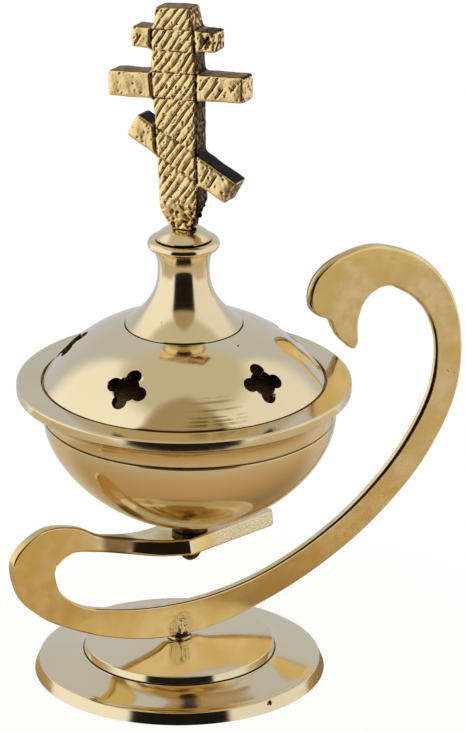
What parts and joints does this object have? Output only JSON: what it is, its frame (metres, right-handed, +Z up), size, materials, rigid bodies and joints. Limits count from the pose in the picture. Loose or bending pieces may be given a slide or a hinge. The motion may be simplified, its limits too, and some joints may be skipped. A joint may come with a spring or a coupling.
{
  "type": "table censer",
  "caption": "Brass table censer with a swan-headed carrying handle, round bowl on a foot and a lift-off pierced lid topped by a cross.",
  "frame": {"origin": "middle of the whole object's box seen from above, on the surface that it stands on", "axes": "+Z up along the turned foot, bowl and lid; +X from the foot towards the swan's head; the handle lies in the XZ plane"},
  "size_m": [0.1304, 0.082, 0.1706],
  "materials": {
    "polished_brass": "turned and polished",
    "cast_brass": "rough cast, rubbed bright on the faces",
    "bar_brass": "cast, filed and satin polished",
    "dark_steel": "darkened"
  },
  "bodies": {
    "censer_base": {"foot": "polished_brass", "foot_washer": "dark_steel", "foot_nut": "dark_steel", "handle": "bar_brass", "bowl_spacer": "dark_steel", "bowl": "polished_brass", "bowl_screw": "dark_steel", "bowl_washer": "dark_steel", "bowl_nut": "dark_steel"},
    "lid_assembly": {"lid": "polished_brass", "neck": "polished_brass", "finial_disc": "polished_brass", "cross_finial": "cast_brass", "lid_stud": "dark_steel", "lid_washer": "dark_steel", "lid_nut": "dark_steel"}
  },
  "joints": [
    {"name": "lid_lift", "type": "slide", "parent": "censer_base", "child": "lid_assembly", "axis": [0, 0, 1], "range_m": [0, 0.06]}
  ]
}
